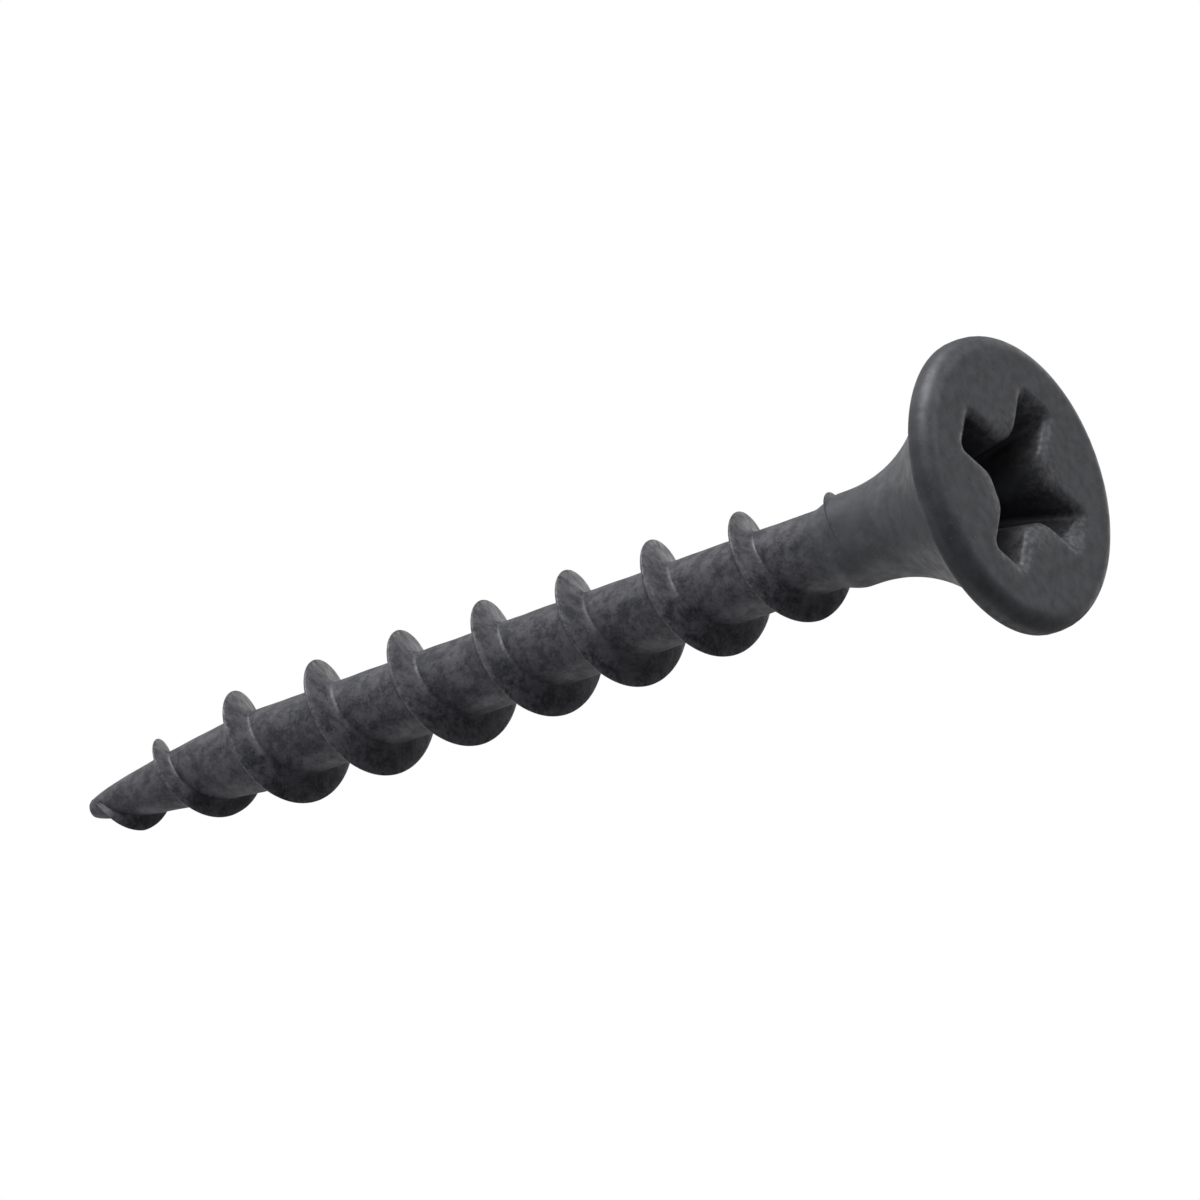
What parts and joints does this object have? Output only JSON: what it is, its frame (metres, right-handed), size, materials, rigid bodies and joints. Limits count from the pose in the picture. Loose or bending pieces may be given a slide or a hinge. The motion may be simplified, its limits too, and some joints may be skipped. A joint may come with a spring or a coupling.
{
  "type": "wood screw",
  "caption": "Bugle-head wood screw with a cross recess, plain tapered neck, coarse single-start right-hand thread and sharp point, in dull black phosphate.",
  "frame": {"origin": "centre of the head's flat top, which ends flush with the wood's surface when the screw is driven home", "axes": "+Z along the screw's axis, out of the head towards the driver; the point is at -Z. The recess's four wings lie at 45 degrees between X and Y"},
  "size_m": [0.008, 0.008, 0.032],
  "materials": {
    "head_steel": "dull grey-black phosphate, flat and even",
    "shank_steel": "dull grey-black phosphate, mottled and slightly rough",
    "thread_steel": "dull grey-black phosphate, worn a little lighter on the crest"
  },
  "bodies": {
    "root": {"head": "head_steel", "neck": "shank_steel", "core": "shank_steel", "point": "shank_steel", "thread": "thread_steel"}
  },
  "joints": []
}
